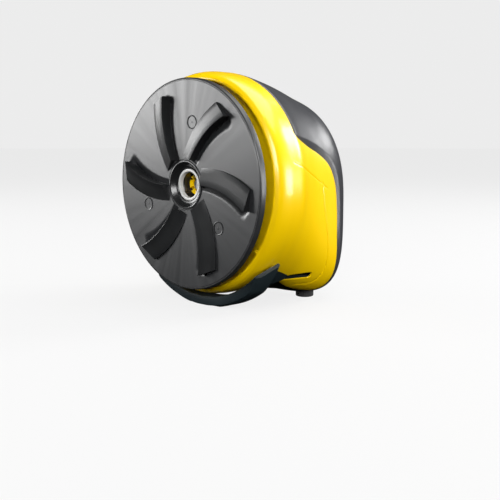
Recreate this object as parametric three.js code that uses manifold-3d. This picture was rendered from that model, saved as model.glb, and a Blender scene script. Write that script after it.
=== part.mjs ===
// Cordless rotary disc scraper, held in the hand: a toothed scraping disc on a geared spindle,
// in a yellow front housing whose two cheeks run back into a dark cover.
// Millimetres, +Z up. The spindle runs along Y and the disc faces -Y. The tool stands on its
// start lever and two rubber feet, with the origin under its middle.
import * as THREE from "three";
import { mergeVertices } from "three/addons/utils/BufferGeometryUtils.js";
import { ParametricGeometry } from "three/addons/geometries/ParametricGeometry.js";
import Module from "manifold-3d";

const wasm = await Module();
wasm.setup();

// Driving dimensions. "Depth" is the distance behind the front face of the disc, along +Y.
const GAP = 0.3; // clearance between neighbouring pieces
const WALL = 2.5; // moulded wall
const DISC_RADIUS = 65;
const DISC_THICK = 4.4;
const BLADE_COUNT = 6;
const BLADE_HEIGHT = 4.6;
const RIM_DEPTH = 10.7; // front edge of the collar
const RECESS_RADIUS = 64;
const BULKHEAD_DEPTH = 20;
const SEAM_DEPTH = 30.6; // joint between the collar and the dark cover
const SEAM_GAP = 0.4;
const REAR_DEPTH = 104.2;
const FLOOR = -76.7; // what the tool stands on, below the spindle
const MODULE = 1.5; // gear tooth size
const WHEEL_TEETH = 40;
const PINION_TEETH = 10;
const MOTOR_DROP = (MODULE * (WHEEL_TEETH + PINION_TEETH)) / 2;
const BUTTON_PROUD = 0.6;
const EDGE = 90; // farther out than any point of the body, for cutting blocks
const REAR = 110; // farther back than any point of the body

// Solids -------------------------------------------------------------------------------------

// A manifold solid from a three.js geometry: shared vertices merged, faces turned outwards.
function solid(geometry) {
  const bare = new THREE.BufferGeometry();
  bare.setAttribute("position", geometry.getAttribute("position"));
  bare.setIndex(geometry.index);
  const merged = mergeVertices(bare, 1e-4);
  const corners = merged.index.array;
  const faces = [];
  for (let i = 0; i < corners.length; i += 3) {
    const [a, b, c] = [corners[i], corners[i + 1], corners[i + 2]];
    if (a !== b && b !== c && c !== a) faces.push([a, b, c]);
  }
  const vertProperties = merged.attributes.position.array;
  const build = (list) => {
    const triVerts = Uint32Array.from(list.flat());
    return new wasm.Manifold(new wasm.Mesh({ numProp: 3, vertProperties, triVerts }));
  };
  const made = build(faces);
  return made.volume() > 0 ? made : build(faces.map(([a, b, c]) => [a, c, b]));
}

function geometryOf(made) {
  const mesh = made.getMesh();
  const geometry = new THREE.BufferGeometry();
  geometry.setAttribute("position", new THREE.BufferAttribute(mesh.vertProperties, 3));
  geometry.setIndex(new THREE.BufferAttribute(mesh.triVerts, 1));
  geometry.computeVertexNormals();
  return geometry;
}

const sum = (...solids) => solids.reduce((all, one) => all.add(one));
const less = (made, ...cuts) => cuts.reduce((all, one) => all.subtract(one), made);

function block([x0, x1], [y0, y1], [z0, z1]) {
  const box = new THREE.BoxGeometry(x1 - x0, y1 - y0, z1 - z0);
  return solid(box.translate((x0 + x1) / 2, (y0 + y1) / 2, (z0 + z1) / 2));
}

// Round bars along Y, X and Z, from one end to the other.
function rodY(radius, [y0, y1], x = 0, z = 0, sides = 32) {
  const bar = new THREE.CylinderGeometry(radius, radius, y1 - y0, sides);
  return solid(bar.translate(x, (y0 + y1) / 2, z));
}

function rodX(radius, [x0, x1], y, z, sides = 24) {
  const bar = new THREE.CylinderGeometry(radius, radius, x1 - x0, sides).rotateZ(Math.PI / 2);
  return solid(bar.translate((x0 + x1) / 2, y, z));
}

function rodZ(radius, [z0, z1], x, y, sides = 32) {
  const bar = new THREE.CylinderGeometry(radius, radius, z1 - z0, sides).rotateX(Math.PI / 2);
  return solid(bar.translate(x, y, (z0 + z1) / 2));
}

// A turned piece about the line (x, z), from a closed profile of [radius, depth] points.
function turned(profile, sides = 48, x = 0, z = 0) {
  const points = [...profile, profile[0]].map(([r, y]) => new THREE.Vector2(r, y));
  return solid(new THREE.LatheGeometry(points, sides).translate(x, 0, z));
}

const ring = (inner, outer, [y0, y1], sides = 32, x = 0, z = 0) =>
  turned([[inner, y0], [outer, y0], [outer, y1], [inner, y1]], sides, x, z);

const shapeOf = (points) => new THREE.Shape(points.map(([u, v]) => new THREE.Vector2(u, v)));

// A side outline of [depth, height] points, carried across from x0 to x1.
function across(points, [x0, x1]) {
  const settings = { depth: x1 - x0, bevelEnabled: false };
  const made = new THREE.ExtrudeGeometry(shapeOf(points), settings);
  const turn = new THREE.Matrix4().makeBasis(
    new THREE.Vector3(0, 1, 0),
    new THREE.Vector3(0, 0, 1),
    new THREE.Vector3(1, 0, 0),
  );
  return solid(made.applyMatrix4(turn).translate(x0, 0, 0));
}

// A front outline of [x, height] points, carried back from one depth to another.
function backwards(points, [y0, y1]) {
  const settings = { depth: y1 - y0, bevelEnabled: false };
  const made = new THREE.ExtrudeGeometry(shapeOf(points), settings);
  return solid(made.rotateX(Math.PI / 2).translate(0, y1, 0));
}

// A closed skin over a row of rings of points, with both ends capped flat.
function loft(rings) {
  const around = rings[0].length;
  const stacks = rings.length + 1;
  const middles = rings.map((points) => {
    const total = points.reduce((all, one) => all.add(one), new THREE.Vector3());
    return total.divideScalar(around);
  });
  const skin = (u, v, target) => {
    const row = Math.round(v * stacks);
    const at = THREE.MathUtils.clamp(row - 1, 0, rings.length - 1);
    const capped = row === 0 || row === stacks;
    target.copy(capped ? middles[at] : rings[at][Math.round(u * around) % around]);
  };
  return solid(new ParametricGeometry(skin, around, stacks));
}

// The outer body ----------------------------------------------------------------------------

// Sections of the body from the collar's rim to the rear face. Each is a rounded outline that is
// widest at its "waist" height, and squarer where its exponents are larger.
const SECTIONS = [
  { depth: RIM_DEPTH, half: 66.0, top: 66.0, bottom: -66.0, waist: 0, upper: 2, lower: 2 },
  { depth: 12.3, half: 67.8, top: 67.8, bottom: -67.8, waist: 0, upper: 2, lower: 2 },
  { depth: 15.5, half: 69.1, top: 69.1, bottom: -69.1, waist: 0, upper: 2, lower: 2 },
  { depth: 21.0, half: 69.8, top: 69.8, bottom: -69.8, waist: 0, upper: 2, lower: 2 },
  { depth: SEAM_DEPTH, half: 69.7, top: 69.7, bottom: -69.7, waist: 0, upper: 2, lower: 2 },
  { depth: 40, half: 66, top: 67.9, bottom: -69.4, waist: -2, upper: 2.1, lower: 2.2 },
  { depth: 52, half: 62, top: 64.2, bottom: -70.2, waist: -5, upper: 2.3, lower: 2.5 },
  { depth: 65, half: 59.6, top: 59, bottom: -72.4, waist: -8.5, upper: 2.5, lower: 3.2 },
  { depth: 78, half: 57.8, top: 53.4, bottom: -74.2, waist: -11.5, upper: 2.75, lower: 4.1 },
  { depth: 88, half: 54, top: 45, bottom: -72.6, waist: -13, upper: 2.75, lower: 4.2 },
  { depth: 96, half: 47.5, top: 34.2, bottom: -67, waist: -15, upper: 2.6, lower: 3.6 },
  { depth: 101, half: 39.5, top: 22, bottom: -58, waist: -17, upper: 2.3, lower: 2.9 },
  { depth: 103.6, half: 30, top: 10, bottom: -47, waist: -18, upper: 2.1, lower: 2.3 },
  { depth: REAR_DEPTH, half: 25, top: 4, bottom: -40, waist: -18, upper: 2, lower: 2 },
];
const FIELDS = ["depth", "half", "top", "bottom", "waist", "upper", "lower"];
const BODY_SIDES = 44;

const between = new THREE.CubicInterpolant(
  SECTIONS.map((_, i) => i),
  SECTIONS.flatMap((section) => FIELDS.map((field) => section[field])),
  FIELDS.length,
  new Float64Array(FIELDS.length),
);

// One ring of the body at a place along the list of sections, moved in by "inset".
function bodyRing(place, inset) {
  const [depth, half, top, bottom, waist, upper, lower] = between.evaluate(place);
  const y = depth - inset * (depth / REAR_DEPTH) ** 6;
  const points = [];
  for (let i = 0; i < BODY_SIDES; i += 1) {
    const angle = (2 * Math.PI * i) / BODY_SIDES;
    const [c, s] = [Math.cos(angle), Math.sin(angle)];
    const power = 2 / (s > 0 ? upper : lower);
    const reach = s > 0 ? top - waist - inset : waist - bottom - inset;
    const x = (half - inset) * Math.sign(c) * Math.abs(c) ** power;
    const z = waist + reach * Math.sign(s) * Math.abs(s) ** power;
    points.push(new THREE.Vector3(x, y, z));
  }
  return points;
}

function bodyBetween(first, last, inset) {
  const rings = [];
  for (let place = first; place <= last; place += 1) rings.push(bodyRing(place, inset));
  return loft(rings);
}

const LAST = SECTIONS.length - 1;
const BULKHEAD_BACK = BULKHEAD_DEPTH + WALL;
const CAVITY_START = 3; // the section at the bulkhead
const outerBody = bodyBetween(0, LAST, 0);
const cavity = less(
  bodyBetween(CAVITY_START, LAST, WALL),
  block([-EDGE, EDGE], [0, BULKHEAD_BACK], [-EDGE, EDGE]),
);

// The edge between cheek and cover seen from the side, from the kink at the top, back along the
// cheek, round its rear end and forward along the bottom.
const CHEEK_EDGE = [
  [33, 28.6], [44.7, 23.7], [57.8, 19], [68.5, 12], [74.5, 0], [77, -16], [78, -34], [80.2, -52],
  [80, -64], [75.5, -70.3], [67, -70], [59.3, -67.7], [50.5, -63.9], [38.2, -57.6], [31.2, -52.6],
];

// The housing's zone in side view: everything ahead of the seam, with the cheek behind it.
function housingZone(grow) {
  const edge = new THREE.SplineCurve(CHEEK_EDGE.map(([y, z]) => new THREE.Vector2(y, z)));
  const points = edge.getPoints(36);
  const moved = points.map((point, i) => {
    const before = points[Math.max(i - 1, 0)];
    const after = points[Math.min(i + 1, points.length - 1)];
    const along = after.clone().sub(before).normalize();
    return [point.x - along.y * grow, point.y + along.x * grow];
  });
  const seam = SEAM_DEPTH + grow;
  const [top, bottom] = [moved[0][1] + 2, moved.at(-1)[1]];
  const ahead = -20;
  const outline = [[ahead, -EDGE], [seam, -EDGE], [seam, bottom - SEAM_GAP], ...moved.reverse()];
  return across([...outline, [seam, top], [seam, EDGE], [ahead, EDGE]], [-EDGE, EDGE]);
}

// Places shared by several pieces -----------------------------------------------------------

const SIDES = [["right", 1], ["left", -1]];
const POSTS = [[40, 36], [-40, 36], [40, -28], [-40, -28]]; // cover screws, [x, z]
const POST_JOINT = 40;
const POST = { radius: 4.5, bore: 1.8, sides: 20 };
const WELL = { radius: 3.5, wall: 1.5, floor: 46 };
const EAR = { radius: 5, bore: 1.5, clearance: 1.9 };
const EARS = [[27.5, 27.5], [-27.5, 27.5], [19, -MOTOR_DROP], [-19, -MOTOR_DROP]]; // gear case screws
const CASE_DEPTH = [BULKHEAD_BACK + GAP, 47];
const CASE_PLATE = 3;
const CASE_WALL = 1.6;
const WHEEL_ROOM = 32.6; // inner radius of the gear case round the output gear
const PINION_ROOM = 10.6;
const MOTOR_PAD = 16.5; // radius of the plate the motor is screwed to
const GEAR_DEPTH = [34, 42];
const SHAFT_RADIUS = 5;
const SHAFT_FIT = 0.2;
const MOTOR_SHAFT = { radius: 1.5, depth: [32.5, 61] };
const PIVOT = { depth: 33, height: -55.4, radius: 1.25 };
const BUTTON = { height: -13, radius: 9.7, flange: 11.5 };
const LENS = { height: 8, radius: 2.2 };
const SOCKET = { height: -42, hole: 4 };
const FLAP = { half: 8, top: -34.8, bottom: -48.6, depth: [101.3, 102.9] };
const FOOT = { x: 27, depth: 82, radius: 6 };
const BOARD_DEPTH = [92.6, 94.2];
const CELL = { radius: 9, half: 32.5 };
const CELLS = [["front", 64, 36.5], ["rear", 78.5, 20]];

// Start lever --------------------------------------------------------------------------------

const LEVER = { inner: 71.2, tip: 73.5, outer: 78, depth: [13, 26], from: 42, corner: 56 };
const LEVER_STEPS = 20;
const LEVER_BEVEL = { radial: 1.2, deep: 1.5 };
const LEVER_REACH = 36.4; // where a lug and arm start, out from the middle
const LUG_DEPTH = 29.5; // ahead of this a lug keeps outside the bar's inner radius

// The outline of a lug from the side; the housing is notched for it.
const LUG = [[23.5, -49.5], [30.4, -52.3], [37.4, -54.6], [38.2, -57.8], [31, -60], [23.5, -60]];
const ARM = [[33, -57.6], [41.6, -58.6], [61.9, -57.9], [61.9, -59.1], [48, -60.1], [33, -59.8]];
const SLOT = [[33, -56.6], [41.6, -57.9], [62.4, -55.7], [62.8, -59.5], [48, -60.5], [33, -60.2]];

function leverArc() {
  const rings = [];
  for (let i = 0; i <= LEVER_STEPS; i += 1) {
    const degrees = LEVER.from + ((180 - 2 * LEVER.from) * i) / LEVER_STEPS;
    const fromEnd = Math.min(degrees, 180 - degrees) - LEVER.from;
    const grown = Math.min(fromEnd / (LEVER.corner - LEVER.from), 1);
    const outer = LEVER.tip + (LEVER.outer - LEVER.tip) * grown;
    const angle = -THREE.MathUtils.degToRad(degrees);
    const at = (r, y) => new THREE.Vector3(r * Math.cos(angle), y, r * Math.sin(angle));
    const [y0, y1] = LEVER.depth;
    const corner = [at(outer - LEVER_BEVEL.radial, y0), at(outer, y0 + LEVER_BEVEL.deep)];
    rings.push([at(LEVER.inner, y0), ...corner, at(outer, y1), at(LEVER.inner, y1)]);
  }
  return less(loft(rings), block([-40, 40], [0, 60], [-EDGE, FLOOR]));
}

function leverLug(side) {
  const ahead = rodY(LEVER.inner - 2 * GAP, [0, LUG_DEPTH], 0, 0, BODY_SIDES);
  const within = rodY(LEVER.outer - 2.5, [-1, EDGE + 1], 0, 0, BODY_SIDES);
  const beyond = less(rodY(EDGE, [0, EDGE]), within);
  const bore = rodX(PIVOT.radius + GAP, [0, EDGE], PIVOT.depth, PIVOT.height);
  const lug = less(across(LUG, [LEVER_REACH, 54]), ahead, beyond, bore);
  return side > 0 ? lug : lug.mirror([1, 0, 0]);
}

function leverArm(side) {
  const skin = bodyBetween(2, LAST, 0.4);
  const bore = rodX(PIVOT.radius + GAP, [0, EDGE], PIVOT.depth, PIVOT.height);
  const arm = less(across(ARM, [LEVER_REACH, EDGE]).intersect(skin), bore);
  return side > 0 ? arm : arm.mirror([1, 0, 0]);
}

function startLever() {
  const ends = SIDES.map(([, side]) => leverLug(side).add(leverArm(side)));
  return sum(leverArc(), ...ends);
}

const PIN_SPAN = [31.5, 42.5];

const leverPin = (side) => {
  const [near, far] = PIN_SPAN;
  const span = side > 0 ? [near, far] : [-far, -near];
  return rodX(PIVOT.radius, span, PIVOT.depth, PIVOT.height, 16);
};

const LEVER_SPRING = { start: 26.4, pitch: 1.1, radius: 2.6, wire: 0.4, turns: 2.5, steps: 8 };

// A torsion spring wound round the pin, just inside the lug's boss.
function leverSpring(side) {
  const { start, pitch, radius, wire, turns, steps } = LEVER_SPRING;
  const points = [];
  for (let i = 0; i <= turns * steps; i += 1) {
    const angle = (2 * Math.PI * i) / steps;
    const x = side * (start + (pitch * i) / steps);
    const y = PIVOT.depth + radius * Math.cos(angle);
    points.push(new THREE.Vector3(x, y, PIVOT.height + radius * Math.sin(angle)));
  }
  return spring(points, wire);
}

function spring(points, wire) {
  const section = new THREE.Shape();
  section.absarc(0, 0, wire, 0, 2 * Math.PI);
  const extrudePath = new THREE.CatmullRomCurve3(points);
  const settings = { extrudePath, steps: points.length, curveSegments: 2, bevelEnabled: false };
  return solid(new THREE.ExtrudeGeometry(section, settings));
}

const LEVER_ROOM = 35.7; // the openings start this far out, beside the pivot bosses
const NOTCH = { about: [30, -55], grow: [1.08, 1.14] }; // the lug's outline made larger

// Openings that go through the shells for the lever.
function leverCuts() {
  const larger = (value, i) => NOTCH.about[i] + (value - NOTCH.about[i]) * NOTCH.grow[i];
  const notch = LUG.map((point) => point.map(larger));
  const right = sum(across(notch, [LEVER_ROOM, EDGE]), across(SLOT, [LEVER_ROOM, EDGE]));
  return sum(right, right.mirror([1, 0, 0]));
}

// Front housing ------------------------------------------------------------------------------

const BEARING = { inner: SHAFT_RADIUS + 0.3, outer: 12.7, depth: [24.3, 31.3] };
const SEAL = { inner: SHAFT_RADIUS + 0.2, outer: 9.6, depth: [BULKHEAD_DEPTH + 0.3, 23.7] };
const HUB_WALL = { radius: 16.5, end: 31.5 };
const BOSS = { near: 30, far: 35.4, depth: [BULKHEAD_DEPTH + 1, 36.5], height: [-59.2, -51] };

function frontHousing() {
  const shell = less(outerBody, cavity).intersect(housingZone(0));
  const recess = rodY(RECESS_RADIUS, [0, BULKHEAD_DEPTH], 0, 0, BODY_SIDES);
  const hub = ring(SEAL.outer + GAP, HUB_WALL.radius, [BULKHEAD_DEPTH, HUB_WALL.end]);
  const bearingSeat = rodY(BEARING.outer + GAP, [BEARING.depth[0] - GAP, POST_JOINT]);
  const shaftHole = rodY(SEAL.outer + GAP, [0, POST_JOINT]);
  const postDepth = [BULKHEAD_DEPTH + 1, POST_JOINT - GAP];
  const screwPosts = POSTS.map(([x, z]) => rodY(POST.radius, postDepth, x, z, POST.sides));
  const screwBores = POSTS.map(([x, z]) => rodY(POST.bore, [SEAM_DEPTH - 1.6, 50], x, z, 12));
  const earBores = EARS.map(([x, z]) => rodY(EAR.bore, [BULKHEAD_DEPTH + 1, 50], x, z, 12));
  const within = bodyBetween(2, LAST, WALL + GAP);
  const pivotBosses = SIDES.map(([, side]) => {
    const span = side > 0 ? [BOSS.near, BOSS.far] : [-BOSS.far, -BOSS.near];
    return block(span, BOSS.depth, BOSS.height).intersect(within);
  });
  const pivotBores = rodX(PIVOT.radius + GAP, [-EDGE, EDGE], PIVOT.depth, PIVOT.height, 16);
  const body = sum(less(shell, recess), hub, ...screwPosts, ...pivotBosses);
  return less(body, shaftHole, bearingSeat, pivotBores, leverCuts(), ...screwBores, ...earBores);
}

// Rear cover ---------------------------------------------------------------------------------

const BACK_WALL = [80, REAR];
const FLAP_SWING = 1.3; // room over the flap's hinge
const TUBE_INSET = 1; // how far the tubes and backing stop short of the outer face
const BACKING = { half: 12, start: 96.2, margin: 3, floor: 0.7 }; // round the flap's pocket

function rearCover() {
  const shell = less(outerBody, cavity, housingZone(SEAM_GAP));
  const inside = bodyBetween(2, LAST, TUBE_INSET);
  const tubes = POSTS.map(([x, z]) =>
    rodY(WELL.radius + WELL.wall, [POST_JOINT, REAR], x, z, POST.sides).intersect(inside),
  );
  const wells = POSTS.map(([x, z]) => rodY(WELL.radius, [WELL.floor, REAR], x, z, POST.sides));
  const shanks = POSTS.map(([x, z]) => rodY(POST.bore, [SEAM_DEPTH, REAR], x, z, 12));
  const buttonHole = rodY(BUTTON.radius + 0.4, BACK_WALL, 0, BUTTON.height, 40);
  const lensHole = rodY(LENS.radius + GAP, BACK_WALL, 0, LENS.height, 16);
  const socketHole = rodY(SOCKET.hole, BACK_WALL, 0, SOCKET.height, 24);
  const backing = block(
    [-BACKING.half, BACKING.half],
    [BACKING.start, FLAP.depth[0] - BACKING.floor],
    [FLAP.bottom - BACKING.margin, FLAP.top + BACKING.margin],
  );
  const flapPocket = block(
    [-FLAP.half - 0.5, FLAP.half + 0.5],
    [FLAP.depth[0] - GAP, REAR],
    [FLAP.bottom - 0.5, FLAP.top + FLAP_SWING],
  );
  const body = sum(shell, ...tubes, backing.intersect(inside));
  return less(body, ...wells, ...shanks, buttonHole, lensHole, socketHole, flapPocket, leverCuts());
}

// Scraping disc ------------------------------------------------------------------------------

const HUB_RADIUS = 14.8;
const HUB_BORE = 10.1;
const HEX_FLATS = 19.4;
const HUB_END = 19;
const SLEEVE_STOP = 5.4;
const NOSE_BORE = 8;
const BLADE_ROOT = 1; // how far a blade is buried in the disc

// A six-sided bar along Y, measured across its flats.
const hexagon = (flats, [y0, y1]) => rodY(flats / Math.sqrt(3), [y0, y1], 0, 0, 6);

const BLADE_FOOT = [[-1.4, 18.3], [9.5, 39.4], [29.4, 49.1]]; // trailing edge on the face, [x, z]
const BLADE_CREST = [[8.6, 15.1], [20.5, 33.5], [39.3, 40.7]]; // leading edge
const BLADE_STEPS = 7;
const FOOT_HEIGHT = [0.2, 1.6]; // inner and outer end
const CREST_HEIGHT = [4, BLADE_HEIGHT];
const SCOOP_DEPTH = [1.6, 3.2];
const SCOOP_WIDTH = [3, 6.2];

const curveOf = (points) =>
  new THREE.QuadraticBezierCurve(...points.map(([x, z]) => new THREE.Vector2(x, z)));
const part = ([from, to], t) => from + (to - from) * t;
const raised = (at, y) => new THREE.Vector3(at.x, y, at.y);

// One saw-tooth blade: a curved ramp that climbs from its trailing foot to a sheer leading face.
function blade(turn) {
  const [feet, crests] = [curveOf(BLADE_FOOT), curveOf(BLADE_CREST)];
  const rings = [];
  for (let i = 0; i <= BLADE_STEPS; i += 1) {
    const t = i / BLADE_STEPS;
    const [low, high] = [feet.getPoint(t), crests.getPoint(t)];
    rings.push([
      raised(low, BLADE_ROOT),
      raised(low, -part(FOOT_HEIGHT, t)),
      raised(high, -part(CREST_HEIGHT, t)),
      raised(high, part(SCOOP_DEPTH, t) + BLADE_ROOT / 2),
    ]);
  }
  return loft(rings).rotate([0, turn, 0]);
}

// The hollow ahead of a blade: deepest under its crest and running out onto the face.
function scoop(turn) {
  const crests = curveOf(BLADE_CREST);
  const rings = [];
  for (let i = 0; i <= BLADE_STEPS; i += 1) {
    const t = i / BLADE_STEPS;
    const high = crests.getPoint(t);
    const along = crests.getTangent(t);
    const far = new THREE.Vector2(along.y, -along.x).multiplyScalar(part(SCOOP_WIDTH, t)).add(high);
    rings.push([raised(high, -1), raised(high, part(SCOOP_DEPTH, t)), raised(far, 0), raised(far, -1)]);
  }
  return loft(rings).rotate([0, turn, 0]);
}

function scraperDisc() {
  const plate = turned([
    [HUB_BORE, SLEEVE_STOP], [HUB_BORE, 2.6], [11.4, 2.2], [13.6, 0], [HUB_RADIUS, -0.4],
    [HUB_RADIUS + 0.6, 0], [DISC_RADIUS - 0.5, 0], [DISC_RADIUS, 0.6], [DISC_RADIUS, DISC_THICK],
    [16, DISC_THICK], [15.4, HUB_END], [NOSE_BORE, HUB_END], [NOSE_BORE, SLEEVE_STOP],
  ], 64);
  const turns = Array.from({ length: BLADE_COUNT }, (_, i) => (360 * i) / BLADE_COUNT);
  const socket = hexagon(HEX_FLATS + 2 * GAP, [12.6, HUB_END + 1]);
  return less(sum(less(plate, ...turns.map(scoop)), ...turns.map(blade)), socket);
}

const SLEEVE = [[7.9, 3.2], [8.3, 2.7], [9.8, 2.7], [9.8, 5.1], [7.9, 5.1]]; // [radius, depth]
const hubSleeve = () => turned(SLEEVE, 36);

// Spindle ------------------------------------------------------------------------------------

const DOG_BORE = 4.4;
const DOG_NOSE = [[DOG_BORE, 9.9], [6.6, 9.5], [7.4, 10.3], [7.4, 13], [DOG_BORE, 13]];
const DOG_HEX = [12.9, 18.7];
const DOG_SLOT = { half: 1.1, depth: [9, 12], reach: 9, turns: [0, 60, 120] };

// The yellow driver: a slotted nose that centres the disc's bore, and a hexagon that turns it.
function driveDog() {
  const { half, depth, reach, turns } = DOG_SLOT;
  const nose = turned(DOG_NOSE, 32);
  const hexFlange = less(hexagon(HEX_FLATS, DOG_HEX), rodY(DOG_BORE, [10, 20], 0, 0, 32));
  const slots = turns.map((turn) =>
    block([-half, half], depth, [-reach, reach]).rotate([0, turn, 0]),
  );
  return less(sum(nose, hexFlange), ...slots);
}

const SPINDLE = [
  [0, 10.4], [3.4, 10.4], [4, 11], [4, 19], [SHAFT_RADIUS, 19], [SHAFT_RADIUS, 51.6], [4.2, 52.4],
  [0, 52.4],
];
const driveSpindle = () => turned(SPINDLE, 32);

const PRESSURE_ANGLE = THREE.MathUtils.degToRad(20);
const DEDENDUM = 1.3; // in modules
const BACKLASH = 0.16;

// A gear outline with involute flanks; "turn" is where the middle of its first tooth points.
function gear(teeth, addendum, turn, bore) {
  const pitch = (MODULE * teeth) / 2;
  const base = pitch * Math.cos(PRESSURE_ANGLE);
  const [root, tip] = [pitch - DEDENDUM * MODULE, pitch + addendum];
  const spread = (r) => {
    const angle = Math.acos(Math.min(base / r, 1));
    return Math.tan(angle) - angle;
  };
  const halfTooth = Math.PI / (2 * teeth) - BACKLASH / (2 * pitch) + spread(pitch);
  const flank = [0, 0.5, 1].map((t) => Math.max(base, root) + t * (tip - Math.max(base, root)));
  const outline = [];
  for (let i = 0; i < teeth; i += 1) {
    const middle = turn + (2 * Math.PI * i) / teeth;
    const put = (r, angle) => outline.push([r * Math.cos(angle), r * Math.sin(angle)]);
    put(root, middle - halfTooth + spread(flank[0]));
    flank.forEach((r) => put(r, middle - halfTooth + spread(r)));
    flank.toReversed().forEach((r) => put(r, middle + halfTooth - spread(r)));
    put(root, middle + halfTooth - spread(flank[0]));
  }
  const distinct = outline.filter(([x, z], i) => {
    const [px, pz] = outline.at(i - 1);
    return Math.hypot(x - px, z - pz) > 0.2;
  });
  return less(backwards(distinct, GEAR_DEPTH), rodY(bore, [20, 60]));
}

const WHEEL_HUB = { radius: 9, depth: [32, 43.6] };
const WHEEL_WEB = { inner: 13, outer: 25, depth: [39.5, 43] }; // recess in the rear face
const CIRCLIP = { inner: SHAFT_RADIUS + 0.15, outer: 7.6, depth: [50.4, 51.4], mouth: 2 };

function outputGear() {
  const gapDown = -Math.PI / 2 + Math.PI / WHEEL_TEETH;
  const hub = ring(SHAFT_RADIUS + SHAFT_FIT, WHEEL_HUB.radius, WHEEL_HUB.depth);
  const web = ring(WHEEL_WEB.inner, WHEEL_WEB.outer, WHEEL_WEB.depth);
  const wheel = gear(WHEEL_TEETH, 0.5 * MODULE, gapDown, SHAFT_RADIUS + SHAFT_FIT);
  return less(sum(wheel, hub), web);
}

const motorPinion = () =>
  gear(PINION_TEETH, MODULE, Math.PI / 2, MOTOR_SHAFT.radius + GAP).translate(0, 0, -MOTOR_DROP);

const circlip = () => {
  const { inner, outer, depth, mouth } = CIRCLIP;
  return less(ring(inner, outer, depth), block([-mouth, mouth], [50, 52], [0, 20]));
};

// Gear case and motor ------------------------------------------------------------------------

function gearCase() {
  const [front, back] = CASE_DEPTH;
  const wide = CASE_WALL;
  const big = rodY(WHEEL_ROOM + wide, [front, back], 0, 0, 48);
  const small = rodY(MOTOR_PAD, [back - CASE_PLATE, back], 0, -MOTOR_DROP, 24);
  const lobe = rodY(PINION_ROOM + wide, [front, back], 0, -MOTOR_DROP, 24);
  const ears = EARS.map(([x, z]) =>
    rodY(EAR.radius, [z > 0 ? front : back - CASE_PLATE, back], x, z, 12),
  );
  const reach = PINION_ROOM + wide;
  const bridge = block([-reach, reach], [front, back], [-MOTOR_DROP, 0]);
  const bush = rodY(BUSH.radius + 2, [back - CASE_PLATE, BUSH.depth[1]], 0, 0, 32);
  const inside = [front - 1, back - CASE_PLATE];
  const hollow = sum(
    rodY(WHEEL_ROOM, inside, 0, 0, 48),
    rodY(PINION_ROOM, inside, 0, -MOTOR_DROP, 24),
    block([-PINION_ROOM, PINION_ROOM], inside, [-MOTOR_DROP, 0]),
  );
  const bores = [
    rodY(BUSH.radius + GAP, [back - CASE_PLATE, REAR], 0, 0, 32),
    rodY(MOTOR.boss + 0.5, [back - CASE_PLATE - 1, REAR], 0, -MOTOR_DROP, 24),
    ...EARS.map(([x, z]) => rodY(EAR.clearance, [0, REAR], x, z, 12)),
    ...motorScrewPlaces().map(([x, z]) => rodY(MOTOR.thread, [POST_JOINT, REAR], x, z, 12)),
    ...motorScrewPlaces().map(([x, z]) => rodY(2.6, [POST_JOINT, 44.9], x, z, 16)),
  ];
  return less(sum(big, small, lobe, bridge, bush, ...ears), hollow, ...bores);
}

const motorScrewPlaces = () => [[8, -MOTOR_DROP], [-8, -MOTOR_DROP]];
const BUSH = { radius: 8, depth: [44.2, 50] };
const rearBush = () => ring(SHAFT_RADIUS + SHAFT_FIT, BUSH.radius, BUSH.depth, 32);
const frontBearing = () => {
  const races = ring(BEARING.inner, BEARING.outer, BEARING.depth, 32);
  return less(races, ring(7.6, 10.4, [BEARING.depth[1] - 0.7, 40], 32));
};
const spindleSeal = () =>
  turned([[SEAL.inner, 20.6], [6.4, 20.3], [SEAL.outer, 20.3], [SEAL.outer, 23.7], [8.4, 23.7],
    [8.4, 21.8], [SEAL.inner, 21.8]], 24);

const MOTOR = { radius: 14, front: 47.3, back: 78, end: 83, boss: 4, thread: 1.5 };

function motorCan() {
  const { radius, front, back } = MOTOR;
  const profile = [[0, front], [radius - 1, front], [radius, front + 1], [radius, back], [0, back]];
  const can = turned(profile, 32, 0, -MOTOR_DROP);
  const boss = rodY(MOTOR.boss, [44.6, front + 0.7], 0, -MOTOR_DROP, 24);
  const bore = rodY(MOTOR_SHAFT.radius + GAP, [POST_JOINT, 62], 0, -MOTOR_DROP, 16);
  const threads = motorScrewPlaces().map(([x, z]) => rodY(MOTOR.thread, [POST_JOINT, 52], x, z, 12));
  return less(sum(can, boss), bore, ...threads);
}

function motorEndBell() {
  const bell = rodY(MOTOR.radius - 0.8, [MOTOR.back + GAP, MOTOR.end], 0, -MOTOR_DROP, 32);
  const cup = rodY(4, [MOTOR.end - 1.5, MOTOR.end + 1], 0, -MOTOR_DROP, 24);
  const [wide, thick] = [1.4, 0.3];
  const tags = [-8, 8].map((x) =>
    block([x - wide, x + wide], [MOTOR.end - 1, MOTOR.end + 3],
      [-MOTOR_DROP - thick, -MOTOR_DROP + thick]),
  );
  return sum(less(bell, cup), ...tags);
}

const motorShaft = () => rodY(MOTOR_SHAFT.radius, MOTOR_SHAFT.depth, 0, -MOTOR_DROP, 16);

// Fasteners ----------------------------------------------------------------------------------

const COVER_SCREW = { radius: 1.5, length: 14 };
const CASE_SCREW = { radius: 1.2, length: 20 };
const MOTOR_SCREW = { radius: 1.1, length: 6, seat: 44.6 };

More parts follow.
